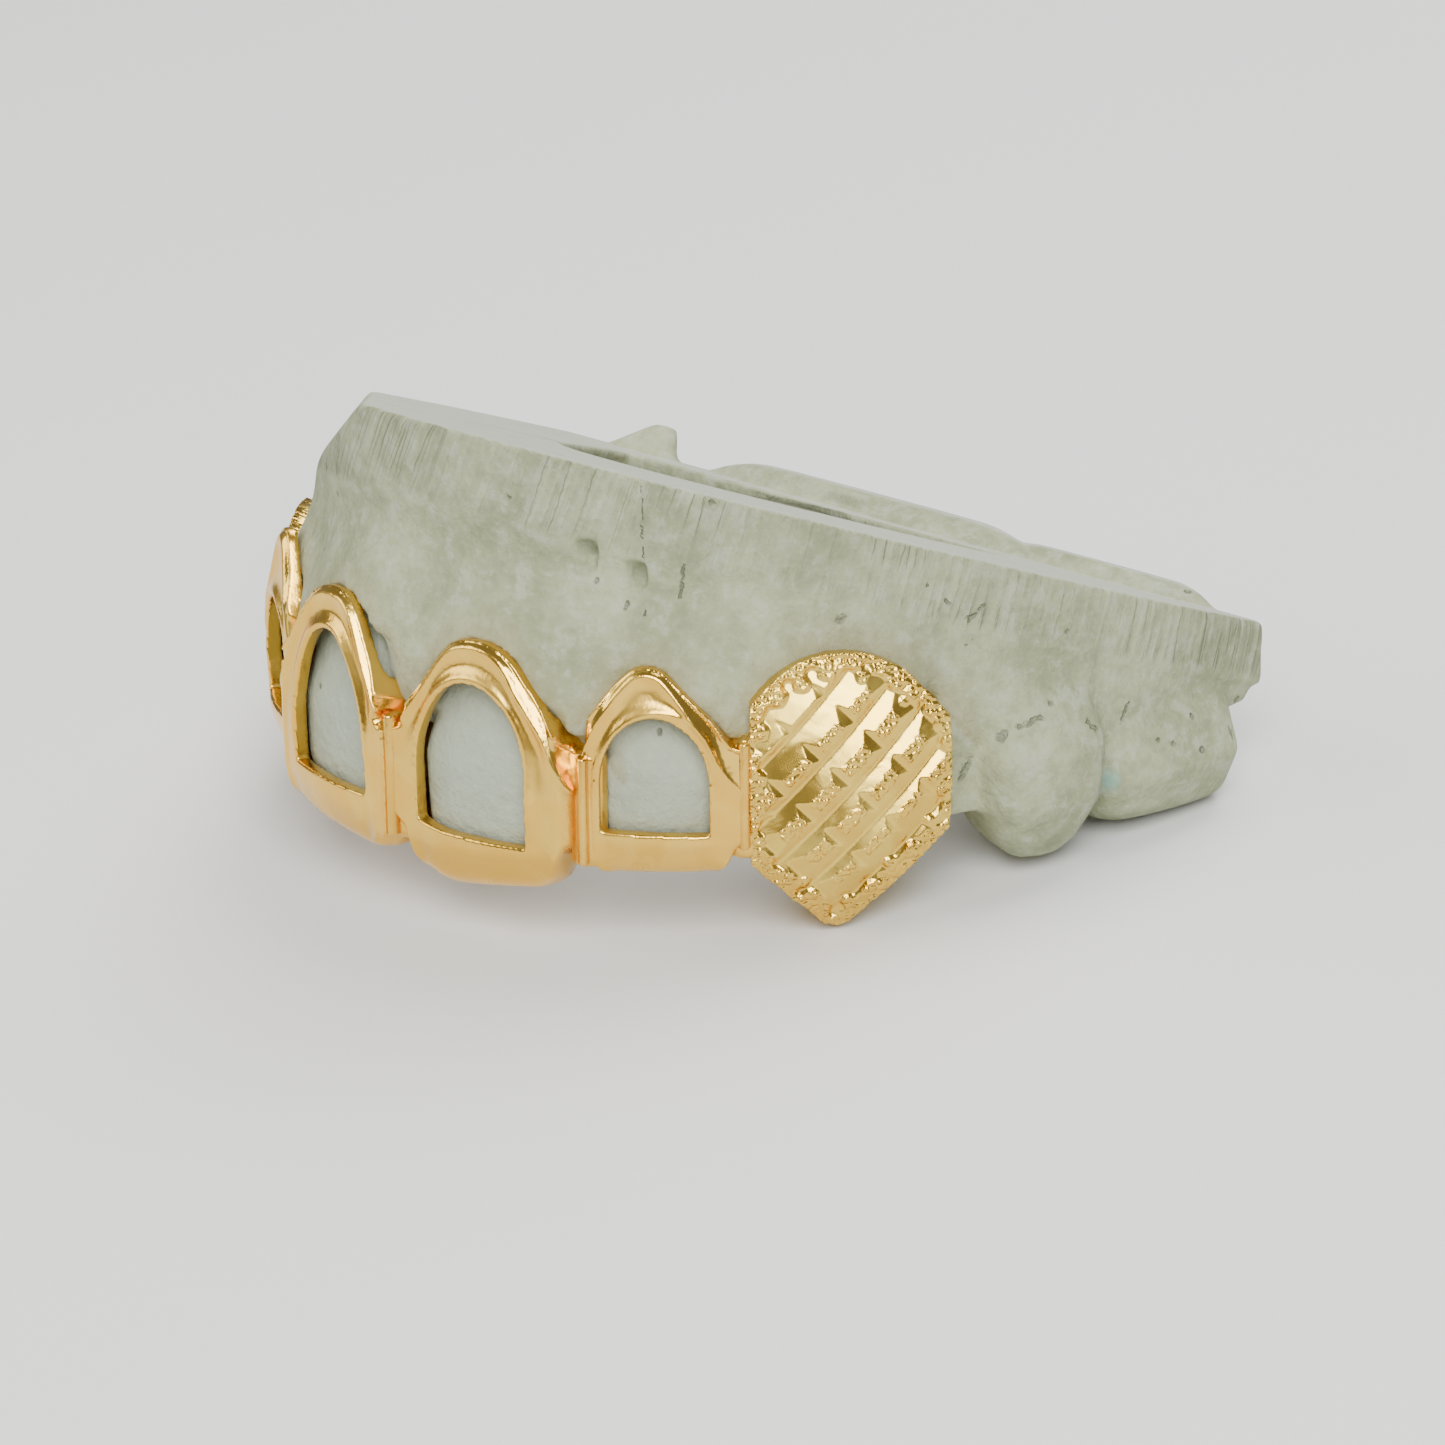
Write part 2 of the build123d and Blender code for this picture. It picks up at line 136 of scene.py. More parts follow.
soft_boxes = [
    # name, place, width, power
    ("main_light", (0.34, -0.30, 0.42), 0.42, 6.6),
    ("left_light", (-0.34, -0.36, 0.34), 0.40, 1.9),
    ("back_light", (-0.05, 0.35, 0.50), 0.40, 4.2),
]
for name, place, width, power in soft_boxes:
    box_light = bpy.data.lights.new(name, "AREA")
    box_light.shape = "SQUARE"
    box_light.size = width
    box_light.energy = power
    lamp = bpy.data.objects.new(name, box_light)
    lamp.location = place
    lamp.rotation_euler = (Vector((0, 0, 0.01)) - Vector(place)).to_track_quat("-Z", "Y").to_euler()
    bpy.context.scene.collection.objects.link(lamp)

# Dental cast. Hard green plaster poured from an impression of the mouth. Its base was ground flat
# on a wheel, which left slanting grooves, and air bubbles left small pits. Sizes are in mm, in the
# frame of the mouth: X to its left side, Y to the throat, Z upwards.
cast_grain = 0.18
arch_half_width = 23.2
arch_length = 30.7
crease_front = 15.6
crease_fall = math.tan(math.radians(18.6))
top_normal = np.array([math.tan(math.radians(1.1)), math.tan(math.radians(19.8)), 1.0])
top_normal /= np.linalg.norm(top_normal)
cap_rows = [
    # side, name, x, y, turn, half_width, peak, peak_shift, flank, rounding
    (1, "central", 4.585, -0.117, 11.0, 4.50, 11.9, -0.3, 47.0, 2.9),
    (1, "lateral", 11.806, 3.704, 37.0, 3.45, 10.55, -0.6, 44.0, 1.3),
    (1, "canine", 17.398, 9.593, 56.5, 4.55, 12.7, -0.4, 48.0, 4.5),
    (-1, "central", 4.662, -0.509, 11.0, 4.50, 12.6, -0.3, 47.0, 2.9),
    (-1, "lateral", 12.118, 3.130, 32.0, 3.45, 11.05, -0.6, 44.0, 1.3),
    (-1, "canine", 17.731, 9.372, 56.5, 4.55, 12.7, -0.4, 48.0, 4.5),
]
cap_of = {row[:2]: row[2:] for row in cap_rows}
flank_foot = 5.6
corner_rows = [
    # side, name, start from the middle, reach, rise
    (1, "central", -1.2, 3.3, 1.30),
    (1, "central", 2.2, 2.3, 0.45),
    (1, "lateral", -1.8, 1.7, 0.2),
    (1, "lateral", 1.5, 1.9, 0.4),
    (-1, "central", 2.0, 2.5, 0.4),
]
slope_rows = [
    # side, name, start from the middle, end, how far the gum edge comes down at the end
    (1, "central", -1.2, -4.4, 1.0),
    (1, "central", 2.6, 4.5, 0.45),
    (1, "lateral", -1.8, -3.4, 0.35),
    (1, "lateral", 1.8, 3.4, 0.35),
    (-1, "central", -1.0, -4.4, 1.5),
    (-1, "central", 2.0, 4.4, 0.8),
    (-1, "lateral", 1.8, 3.4, 0.3),
]
collar_rows = [
    # x, y, z, turn, half width, half depth, half height of a swell of gum, mirrored too
    (0.0, 1.9, 9.6, 0.0, 1.7, 1.1, 2.6),
    (8.05, 3.75, 8.4, 25.0, 1.7, 1.1, 2.2),
    (12.85, 7.60, 8.4, 47.0, 1.8, 1.1, 2.2),
    (13.4, 7.50, 7.7, 50.0, 1.1, 0.7, 1.0),
    (13.5, 8.8, 9.2, 56.5, 1.2, 1.3, 2.2),
    (16.5, 13.5, 9.0, 56.5, 1.2, 1.3, 2.2),
]
# How far the front of a crown stands back at shares of its height, in shares of its depth
crown_heights = [0.45, 0.8, 1.2]
crown_fronts = [0.0, 0.04, 0.2]
crown_rows = {
    # side, name: foot, height, depth of the crown
    (1, "central"): (-0.35, 11.05, 7.0),
    (1, "lateral"): (1.0, 9.2, 6.6),
    (-1, "central"): (0.2, 11.2, 7.0),
    (-1, "lateral"): (1.5, 9.2, 6.6),
}
chip_rows = [
    # x, y, z of the middle, half width, half height, depth
    (7.6, 4.0, 14.55, 0.42, 0.36, 0.8),
    (7.75, 4.05, 14.05, 0.22, 0.40, 0.5),
    (9.55, 4.8, 13.55, 0.34, 0.55, 0.8),
]
chip_turn = 24.0
# How far the grinding grooves lean, in degrees, at places along the wall
lean_places = [-6, 8, 25]
lean_angles = [44, 27, 16]
# The line where the gum meets the bare back teeth
gum_line = np.array([
    (19.2, 16.4, 5.8), (20.2, 18.7, 7.0), (21.1, 20.6, 5.7), (20.7, 23.2, 5.7),
    (21.7, 25.0, 4.2), (21.9, 27.0, 4.8), (22.3, 28.8, 3.6),
])
pit_rows = [
    # x, y, z, width
    (8.0, 4.1, 13.2, 0.13),
    (12.1, 6.7, 16.8, 0.12),
    (19.3, 13.3, 14.4, 0.13),
    (17.6, 13.7, 12.8, 0.10),
    (12.9, 7.1, 9.4, 0.14),
    (4.7, 2.3, 16.5, 0.12),
    (4.6, 2.1, 11.1, 0.13),
    (-2.6, 1.6, 9.8, 0.12),
    (11.0, 4.6, 7.2, 0.15),
    (20.2, 18.8, 7.0, 0.15),
    (21.6, 24.5, 4.2, 0.15),
    (21.9, 25.2, 3.9, 0.16),
    (21.8, 26.6, 4.8, 0.12),
]
crack_rows = [
    # start x, y, z, end x, y, z, width
    (8.9, 4.2, 13.0, 8.7, 4.1, 12.7, 0.10),
    (7.6, 3.6, 12.9, 7.5, 3.5, 12.6, 0.09),
    (9.3, 4.6, 12.4, 9.2, 4.5, 12.1, 0.09),
    (-8.8, 13.0, 15.2, -7.2, 17.7, 13.5, 0.20),
    (18.0, 14.5, 12.0, 18.1, 14.6, 11.9, 0.12),
    (15.4, 10.6, 11.6, 15.55, 10.75, 11.65, 0.20),
    (19.3, 16.5, 5.8, 19.4, 16.7, 5.9, 0.20),
    (20.2, 18.2, 6.5, 19.7, 17.2, 6.2, 0.13),
    (18.7, 16.1, 11.6, 18.4, 15.4, 11.1, 0.10),
    (18.4, 15.8, 10.2, 18.2, 15.3, 9.8, 0.09),
    (20.8, 23.3, 6.0, 20.6, 23.1, 5.2, 0.11),
    (22.3, 28.7, 3.9, 22.4, 28.8, 3.4, 0.11),
    (21.0, 20.3, 5.9, 21.2, 20.8, 5.5, 0.11),
    (18.2, 15.9, 4.9, 18.1, 15.5, 4.0, 0.15),
    (9.9, 4.8, 17.4, 9.9, 4.9, 14.2, 0.035),
    (9.9, 4.9, 14.2, 10.0, 4.8, 10.8, 0.04),
    (11.2, 5.9, 14.1, 11.0, 5.9, 12.7, 0.09),
    (11.0, 5.9, 12.0, 11.2, 5.6, 10.2, 0.04),
    (13.6, 8.4, 12.6, 14.2, 9.2, 12.5, 0.08),
]
stain_spot = (20.7, 22.2, 2.7)
stain_width = 0.6
edge_wobble = 0.42
face_bow = 0.15
gum_sink = 0.45
swell_reach = 3.0
swell_lowest = 6.9
crease_band = 1.6
smoothing_rounds = 260
plain_share = 0.12
plaster_green = (0.235, 0.258, 0.145, 1)
plaster_light = (0.330, 0.352, 0.215, 1)
plaster_pale = (0.42, 0.45, 0.37, 1)
plaster_grey = (0.32, 0.36, 0.285, 1)
plaster_dark = (0.10, 0.115, 0.065, 1)
# Colour of the painted shade that the gold caps throw on the plaster round them
painted_gold_shade_tint = (0.25, 0.22, 0.11, 1)
stain_teal = (0.17, 0.36, 0.32, 1)


def only(piece):
    """Select one object and make it active."""
    bpy.ops.object.select_all(action="DESELECT")
    piece.hide_set(False)
    piece.select_set(True)
    bpy.context.view_layer.objects.active = piece


def merged_copy(node, name):
    """A copy of a solid's mesh with its loose triangles merged, as a start for a piece."""
    piece = frame["nodes"][node].copy()
    piece.data = piece.data.copy()
    piece.name = name
    piece.data.name = name
    piece.parent = None
    piece.hide_render = False
    piece.hide_viewport = False
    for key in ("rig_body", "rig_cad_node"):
        del piece[key]
    piece.data.materials.clear()
    bpy.context.scene.collection.objects.link(piece)
    only(piece)
    bpy.ops.object.mode_set(mode="EDIT")
    bpy.ops.mesh.select_all(action="SELECT")
    bpy.ops.mesh.remove_doubles(threshold=0.000002)
    bpy.ops.object.mode_set(mode="OBJECT")
    return piece


def apply_modifier(piece, kind, **settings):
    """Add a modifier with its settings and apply it at once."""
    only(piece)
    bpy.ops.object.modifier_add(type=kind)
    modifier = piece.modifiers[-1]
    for key, value in settings.items():
        setattr(modifier, key, value)
    bpy.ops.object.modifier_apply(modifier=modifier.name)


def points_of(piece, kind="co"):
    """Places or normals of the vertices of a piece, one row each."""
    values = np.empty(len(piece.data.vertices) * 3)
    piece.data.vertices.foreach_get(kind, values)
    return values.reshape(-1, 3)


def move_points(piece, places):
    """Put the vertices of a piece at new places."""
    piece.data.vertices.foreach_set("co", places.astype(np.float32).ravel())
    piece.data.update()


def to_mouth(places, mirror_side=1):
    """Places in the scene, in metres, to the frame of the mouth, in mm."""
    mirror = np.array([mirror_side, 1, 1])
    return (places / mm - np.array(mouth_shift)) @ np.array(mouth_turn) * mirror


def mouth_normals(piece, mirror_side=1):
    """Normals of the vertices in the frame of the mouth."""
    return points_of(piece, "normal") @ np.array(mouth_turn) * np.array([mirror_side, 1, 1])


def from_mouth_all(places, mirror_side=1):
    """Places in the frame of the mouth, in mm, back to the scene, in metres."""
    mirrored = places * np.array([mirror_side, 1, 1])
    return (mirrored @ np.array(mouth_turn).T + np.array(mouth_shift)) * mm


def smooth_step(values, low_end, high_end):
    """Numbers eased from 0 to 1 between two ends."""
    share = np.clip((values - low_end) / (high_end - low_end), 0, 1)
    return share * share * (3 - 2 * share)


def give_weights(piece, name, weights):
    """A vertex group from one weight for each vertex, in steps of a twentieth."""
    group = piece.vertex_groups.new(name=name)
    steps = np.round(np.clip(weights, 0, 1) * 20).astype(int)
    for step in range(1, 21):
        chosen = np.flatnonzero(steps == step)
        if len(chosen):
            group.add(chosen.tolist(), step / 20, "REPLACE")


def give_mask(piece, name, values):
    """A number for each vertex that a material can read."""
    mask = piece.data.attributes.new(name, "FLOAT", "POINT")
    mask.data.foreach_set("value", values.astype(np.float32))


def thin_out(piece, hidden, share):
    """Fewer triangles where nobody looks: the hidden points are merged down to a share."""
    only(piece)
    bpy.ops.object.mode_set(mode="EDIT")
    bpy.ops.mesh.select_all(action="DESELECT")
    bpy.ops.object.mode_set(mode="OBJECT")
    piece.data.vertices.foreach_set("select", hidden)
    bpy.ops.object.mode_set(mode="EDIT")
    bpy.ops.mesh.select_mode(type="VERT")
    bpy.ops.mesh.decimate(ratio=share)
    bpy.ops.object.mode_set(mode="OBJECT")
    piece.data.validate()


def on_tooth(places, x, y, turn):
    """Places along the row and into the mouth, measured from the middle of a tooth's face."""
    angle = math.radians(turn)
    offset = places[:, :2] - np.array([x, y])
    along = offset @ np.array([math.cos(angle), math.sin(angle)])
    inward = offset @ np.array([-math.sin(angle), math.cos(angle)])
    return along, inward


def below_gum(u, w, peak, peak_shift, flank, rounding):
    """How far a place lies below the gum edge of a cap: straight flanks, rounded peak."""
    slope = math.radians(flank)
    across = np.abs(u - peak_shift)
    straight = (peak - across * math.tan(slope) - w) * math.cos(slope)
    rise = w - (peak - rounding / math.cos(slope))
    round_peak = rounding - np.hypot(across, rise)
    in_round = across * math.cos(slope) < rise * math.sin(slope)
    return np.where(in_round, round_peak, straight)


def round_corners(places, mirror_side):
    """Lift the corners of the biting edges, where the caps were filed round."""
    for side, name, start, reach, rise in corner_rows:
        if side != mirror_side:
            continue
        x, y, turn, half_width = cap_of[side, name][:4]
        u, depth = on_tooth(places, x, y, turn)
        share = np.clip((u - start) * np.sign(start) / reach, 0, 1)
        near = (np.abs(u) < half_width + 0.6) & (depth < 7) & (places[:, 0] > 0)
        fade = 1 - smooth_step(places[:, 2], 0.9, 3.4)
        places[:, 2] += np.where(near, rise * share**2 * fade, 0)
    return places


def lower_flanks(places, mirror_side):
    """Bring the gum edge of a cap down towards its joints, more than a straight flank does."""
    for side, name, start, end, fall in slope_rows:
        if side != mirror_side:
            continue
        x, y, turn, half_width, peak, peak_shift, flank, _ = cap_of[side, name]
        u, depth = on_tooth(places, x, y, turn)
        share = smooth_step(u * np.sign(end), abs(start), abs(end))
        w = places[:, 2]
        off_peak = np.abs(u - peak_shift)
        edge_height = peak - off_peak * math.tan(math.radians(flank))
        squeeze = np.clip((w - flank_foot) / np.maximum(edge_height - flank_foot, 1.0), 0, 1)
        near = (np.abs(u) < half_width + 0.7) & (depth < 5) & (depth > -2)
        fade = 1 - smooth_step(w - edge_height, 0.3, 2.2)
        places[:, 2] -= np.where(near, fall * share * squeeze * fade, 0)
    return places


def distance_to_run(points, line):
    """Distance from points to a run of straight stretches."""
    best = np.full(len(points), 1e9)
    for start, end in zip(line[:-1], line[1:]):
        run = end - start
        share = np.clip((points - start) @ run / max(run @ run, 1e-12), 0, 1)
        gap = np.linalg.norm(points - start - share[:, None] * run, axis=1)
        best = np.minimum(best, gap)
    return best


cast = merged_copy("dental_cast", "plaster_cast")
for x, y, z, turn, half_u, half_depth, half_height in collar_rows:
    for mirror_side in (1, -1):
        spin = mouth_turn @ Matrix.Rotation(mirror_side * math.radians(turn), 3, "Z")
        bpy.ops.object.select_all(action="DESELECT")
        bpy.ops.mesh.primitive_uv_sphere_add(
            segments=32, ring_count=16, radius=mm, location=from_mouth((mirror_side * x, y, z)),
            rotation=spin.to_euler(), scale=(half_u, half_depth, half_height),
        )
        cast.select_set(True)
        bpy.context.view_layer.objects.active = cast
        bpy.ops.object.join()
apply_modifier(cast, "REMESH", mode="VOXEL", voxel_size=cast_grain * mm)

cast_places = to_mouth(points_of(cast))
for mirror_side in (1, -1):
    flipped = cast_places * np.array([mirror_side, 1, 1])
    flipped = lower_flanks(round_corners(flipped, mirror_side), mirror_side)
    cast_places = flipped * np.array([mirror_side, 1, 1])

# Round each open-faced cap the gum swells out to meet the metal, a little below its surface
cast_normals = mouth_normals(cast)
for cap_side, name, x, y, turn, half_width, *edge in cap_rows:
    if name == "canine":
        continue
    mirror = np.array([cap_side, 1, 1])
    mirrored = cast_places * mirror
    angle = math.radians(turn)
    u, depth = on_tooth(mirrored, x, y, turn)
    w = mirrored[:, 2]
    facing = (cast_normals * mirror)[:, :2] @ np.array([math.sin(angle), -math.cos(angle)])
    foot, tall, deep = crown_rows[cap_side, name]
    metal = np.interp((w - foot) / tall, crown_heights, crown_fronts) * deep
    metal += face_bow * half_width * np.clip(u / half_width, -1.2, 1.2) ** 2
    under = below_gum(u, w, *edge)
    share = (1 - smooth_step(-under, 0.3, swell_reach)) * (1 - smooth_step(under, 0.15, 0.45))
    share *= 1 - smooth_step(np.abs(u), half_width + 0.5, half_width + 1.5)
    at_front = (depth < 3.4) & (depth > -2) & (facing > -0.3)
    in_reach = at_front & (w > swell_lowest) & (mirrored[:, 0] > -1.5)
    swell = np.where(in_reach, np.clip(depth - metal - gum_sink, 0, 3) * share, 0)
    mirrored += np.array([math.sin(angle), -math.cos(angle), 0]) * swell[:, None]
    cast_places = mirrored * mirror
move_points(cast, from_mouth_all(cast_places))

# The crease and the gum round the caps are soft, and all the rest keeps its edges
above_crease = cast_places[:, 2] - crease_front + cast_places[:, 1] * crease_fall
wall_angle = np.arctan2(
    cast_places[:, 0] / arch_half_width, (arch_length - cast_places[:, 1]) / arch_length,
)
along_wall = wall_angle * arch_length
softness = np.full(len(cast_places), 0.04)
stump = np.zeros(len(cast_places))
painted_gold_shade = np.zeros(len(cast_places))
for cap_side, name, x, y, turn, half_width, *edge in cap_rows:
    u, depth = on_tooth(cast_places * np.array([cap_side, 1, 1]), x, y, turn)
    under = below_gum(u, cast_places[:, 2], *edge)
    near = (np.abs(u) < half_width + 1.5) & (depth < 4.5) & (depth > -2)
    if name != "canine":
        stump = np.where(near & (under > 0.2), 1.0, stump)
    # Painted shade: the plaster just beyond each cap's gum edge is marked to be darkened with a gold
    # tint, for the shade and gold reflection that the caps throw on it
    painted_gold_shade = np.where(near & (under < 0.2), np.maximum(painted_gold_shade, np.exp(np.minimum(under, 0) / 0.7)), painted_gold_shade)
    close = smooth_step(under, -4.6, -3.0) * (1 - smooth_step(under, -0.35, -0.05))
    softness = np.where(near, np.maximum(softness, close), softness)
over_crease = np.exp(-(above_crease / crease_band) ** 2) * (1 - smooth_step(along_wall, 10, 14))
softness = np.maximum(softness, over_crease)
give_weights(cast, "softness", softness)
apply_modifier(cast, "SMOOTH", factor=0.5, iterations=smoothing_rounds, vertex_group="softness")

# Two chips were knocked out of the gum above the left front caps
cast_places = to_mouth(points_of(cast))
cast_normals = mouth_normals(cast)
for x, y, z, half_width, half_height, chip_depth in chip_rows:
    u, depth = on_tooth(cast_places, x, y, chip_turn)
    inside = np.exp(-((u / half_width) ** 4 + ((cast_places[:, 2] - z) / half_height) ** 4))
    inside *= (np.abs(depth) < 2) & (cast_normals[:, 1] < 0)
    angle = math.radians(chip_turn)
    cast_places += np.array([-math.sin(angle), math.cos(angle), 0]) * (chip_depth * inside)[:, None]
move_points(cast, from_mouth_all(cast_places))

# Masks for the plaster, and places along the wall for the grinding grooves
cast_places = to_mouth(points_of(cast))
cast_normals = mouth_normals(cast)
outward = cast_places[:, :2] - np.array([0, arch_length])
outward /= np.linalg.norm(outward, axis=1)[:, None]
faces_out = np.einsum("ij,ij->i", cast_normals[:, :2], outward)
ground = smooth_step(above_crease, 0.1, 0.8) * smooth_step(faces_out, 0.5, 0.8)
# Painted light: the flat top, which faces up into the light, is marked to be painted paler than the
# walls
painted_top_light = smooth_step(cast_normals @ top_normal, 0.90, 0.97) * smooth_step(above_crease, 0, 0.5)
lean = np.radians(np.interp(along_wall, lean_places, lean_angles))
groove_place = np.stack([along_wall - np.tan(lean) * above_crease, above_crease, wall_angle], 1)
mirrored_places = cast_places * np.where(cast_places[:, :1] < 0, [[-1, 1, 1]], [[1, 1, 1]])
give_mask(cast, "ground", ground)
give_mask(cast, "painted_top_light", painted_top_light)
give_mask(cast, "stump", stump)
give_mask(cast, "painted_gold_shade", painted_gold_shade)
give_mask(cast, "pitted", 1 - smooth_step(distance_to_run(mirrored_places, gum_line), 0.3, 1.4))
wall_place = cast.data.attributes.new("wall_place", "FLOAT_VECTOR", "POINT")
wall_place.data.foreach_set("vector", groove_place.astype(np.float32).ravel())
behind = (cast_places[:, 1] > 20) & (cast_places[:, 0] < 12)
thin_out(cast, (faces_out < -0.2) | behind, plain_share)
only(cast)
bpy.ops.object.shade_smooth()


def add_node(tree, kind, inputs=None, **settings):
    """A shader node with its settings, and its inputs as values or as sockets to link."""
    new = tree.nodes.new("ShaderNode" + kind)
    for key, value in settings.items():
        setattr(new, key, value)
    for key, value in (inputs or {}).items():
        if isinstance(value, bpy.types.NodeSocket):
            tree.links.new(value, new.inputs[key])
        else:
            new.inputs[key].default_value = value
    return new


def blend(tree, share, first, second):
    """Two colours mixed by a share."""
    mix = add_node(tree, "Mix", {0: share, 6: first, 7: second}, data_type="RGBA")
    return mix.outputs[2]


def sum_up(tree, kind, first, second):
    """Two numbers put together by one step of arithmetic."""
    return add_node(tree, "Math", {0: first, 1: second}, operation=kind).outputs[0]


def ramp(tree, value, low_end, high_end, at_low=0.0, at_high=1.0):
    """A number eased from one level to another between two ends."""
    settings = {"Value": value, "From Min": low_end, "From Max": high_end}
    settings.update({"To Min": at_low, "To Max": at_high})
    return add_node(tree, "MapRange", settings, interpolation_type="SMOOTHSTEP").outputs[0]


def mask_of(tree, name):
    """A mask that give_mask wrote on the mesh."""
    return add_node(tree, "Attribute", attribute_name=name).outputs["Fac"]


def paint_over(tree, colour, layers):
    """A colour with layers laid over it: where, how strong and which colour."""
    for where, strength, tint in layers:
        colour = blend(tree, sum_up(tree, "MULTIPLY", where, strength), colour, tint)
    return colour


def bump_of(tree, rows):
    """Normals from rows of a mask and how far, in mm, it raises or sinks the surface."""
    height = 0.0
    for mask, rise in rows:
        raised = add_node(tree, "Math", {0: mask, 1: rise, 2: height}, operation="MULTIPLY_ADD")
        height = raised.outputs[0]
    bump = add_node(tree, "Bump", {"Height": height, "Distance": mm, "Strength": 1.0})
    return bump.outputs["Normal"]


def start_group(name, inputs, outputs):
    """A node group with its sockets, which are given as names and kinds."""
    group = bpy.data.node_groups.new(name, "ShaderNodeTree")
    for label, kind in inputs:
        group.interface.new_socket(label, in_out="INPUT", socket_type="NodeSocket" + kind)
    for label, kind in outputs:
        group.interface.new_socket(label, in_out="OUTPUT", socket_type="NodeSocket" + kind)
    entry = group.nodes.new("NodeGroupInput")
    result = group.nodes.new("NodeGroupOutput")
    return group, entry.outputs, result.inputs


def place_group(tree, group):
    """A copy of a node group in a material."""
    placed = tree.nodes.new("ShaderNodeGroup")
    placed.node_tree = group
    return placed


def vectors(tree, kind, first, second):
    """Two vectors put together by one step of arithmetic."""
    return add_node(tree, "VectorMath", {0: first, 1: second}, operation=kind)


def scaled(tree, vector, size):
    """A vector made longer or shorter."""
    return add_node(tree, "VectorMath", {0: vector, "Scale": size}, operation="SCALE").outputs[0]


crack, crack_in, crack_out = start_group(
    "plaster_crack",
    [("Place", "Vector"), ("Start", "Vector"), ("End", "Vector"), ("Width", "Float")],
    [("Mask", "Float")],
)
run = vectors(crack, "SUBTRACT", crack_in["End"], crack_in["Start"]).outputs[0]
offset = vectors(crack, "SUBTRACT", crack_in["Place"], crack_in["Start"]).outputs[0]
passed = vectors(crack, "DOT_PRODUCT", offset, run).outputs["Value"]
whole = vectors(crack, "DOT_PRODUCT", run, run).outputs["Value"]
share = add_node(crack, "Math", {0: passed, 1: whole}, operation="DIVIDE", use_clamp=True)
nearest = scaled(crack, run, share.outputs[0])
off_line = vectors(crack, "DISTANCE", offset, nearest).outputs["Value"]
inner = sum_up(crack, "MULTIPLY", crack_in["Width"], 0.2)
outer = sum_up(crack, "MULTIPLY", crack_in["Width"], 1.3)
crack.links.new(ramp(crack, off_line, inner, outer, 1.0, 0.0), crack_out["Mask"])

plaster = bpy.data.materials.new("green_plaster")
plaster.use_nodes = True
stone = plaster.node_tree
plaster_shader = stone.nodes["Principled BSDF"]
place = add_node(stone, "TexCoord").outputs["Object"]
wobble = add_node(stone, "TexNoise", {"Vector": place, "Scale": 3200.0, "Detail": 3.0})
shake = vectors(stone, "SUBTRACT", wobble.outputs["Color"], (0.5, 0.5, 0.5)).outputs[0]
shaken = vectors(stone, "ADD", place, scaled(stone, shake, edge_wobble * mm)).outputs[0]


def mark_at(start, end, width):
    """Where a pit or crack lies, between two places in the mouth."""
    mark = place_group(stone, crack)
    stone.links.new(shaken, mark.inputs["Place"])
    mark.inputs["Start"].default_value = from_mouth(start)
    mark.inputs["End"].default_value = from_mouth(end)
    mark.inputs["Width"].default_value = width * mm
    return mark.outputs["Mask"]


# Pits and cracks of the plaster; the colour is painted dark in them as painted shade
all_marks = 0.0
for x, y, z, width in pit_rows:
    all_marks = sum_up(stone, "MAXIMUM", mark_at((x, y, z), (x, y, z), width), all_marks)
for crack_row in crack_rows:
    one_crack = mark_at(crack_row[0:3], crack_row[3:6], crack_row[6])
    all_marks = sum_up(stone, "MAXIMUM", one_crack, all_marks)

bubbles = add_node(stone, "TexVoronoi", {"Vector": place, "Scale": 850.0}, feature="F1")
chance = add_node(stone, "SeparateColor", {"Color": bubbles.outputs["Color"]}).outputs[0]
limit = ramp(stone, mask_of(stone, "pitted"), 0.0, 1.0, 0.05, 0.42)
chosen = sum_up(stone, "LESS_THAN", chance, limit)
round_pit = ramp(stone, bubbles.outputs["Distance"], 0.08, 0.17, 1.0, 0.0)
all_marks = sum_up(stone, "MAXIMUM", sum_up(stone, "MULTIPLY", round_pit, chosen), all_marks)

wall = add_node(stone, "Attribute", attribute_name="wall_place").outputs["Vector"]
fine_place = vectors(stone, "MULTIPLY", wall, (2.7, 0.12, 1.0)).outputs[0]
fine_noise = add_node(stone, "TexNoise", {"Vector": fine_place, "Scale": 1.0, "Detail": 3.0})
deep_place = vectors(stone, "MULTIPLY", wall, (1.1, 0.07, 1.0)).outputs[0]
deep_noise = add_node(stone, "TexNoise", {"Vector": deep_place, "Scale": 1.0, "Detail": 1.0})
from_line = sum_up(stone, "ABSOLUTE", sum_up(stone, "SUBTRACT", deep_noise.outputs["Fac"], 0.5), 0.0)
deep_line = ramp(stone, from_line, 0.004, 0.022, 1.0, 0.0)
patches = add_node(stone, "TexNoise", {"Vector": place, "Scale": 150.0, "Detail": 1.0})
in_patch = ramp(stone, patches.outputs["Fac"], 0.40, 0.55)
on_ground = mask_of(stone, "ground")
grooves = sum_up(stone, "MULTIPLY", sum_up(stone, "MULTIPLY", deep_line, in_patch), on_ground)
scratches = sum_up(stone, "MULTIPLY", ramp(stone, fine_noise.outputs["Fac"], 0.35, 0.65), on_ground)
comb_place = vectors(stone, "MULTIPLY", wall, (1.0, 0.15, 1.0)).outputs[0]
comb_settings = {"Scale": 0.54, "Distortion": 3.0, "Detail": 3.0, "Detail Scale": 1.0}
comb = add_node(stone, "TexWave", {"Vector": comb_place, **comb_settings}, bands_direction="X")
comb_patch = ramp(stone, patches.outputs["Fac"], 0.36, 0.52, 0.15, 1.0)
comb_here = sum_up(stone, "MULTIPLY", comb_patch, on_ground)
combed = sum_up(stone, "MULTIPLY", comb.outputs["Fac"], comb_here)

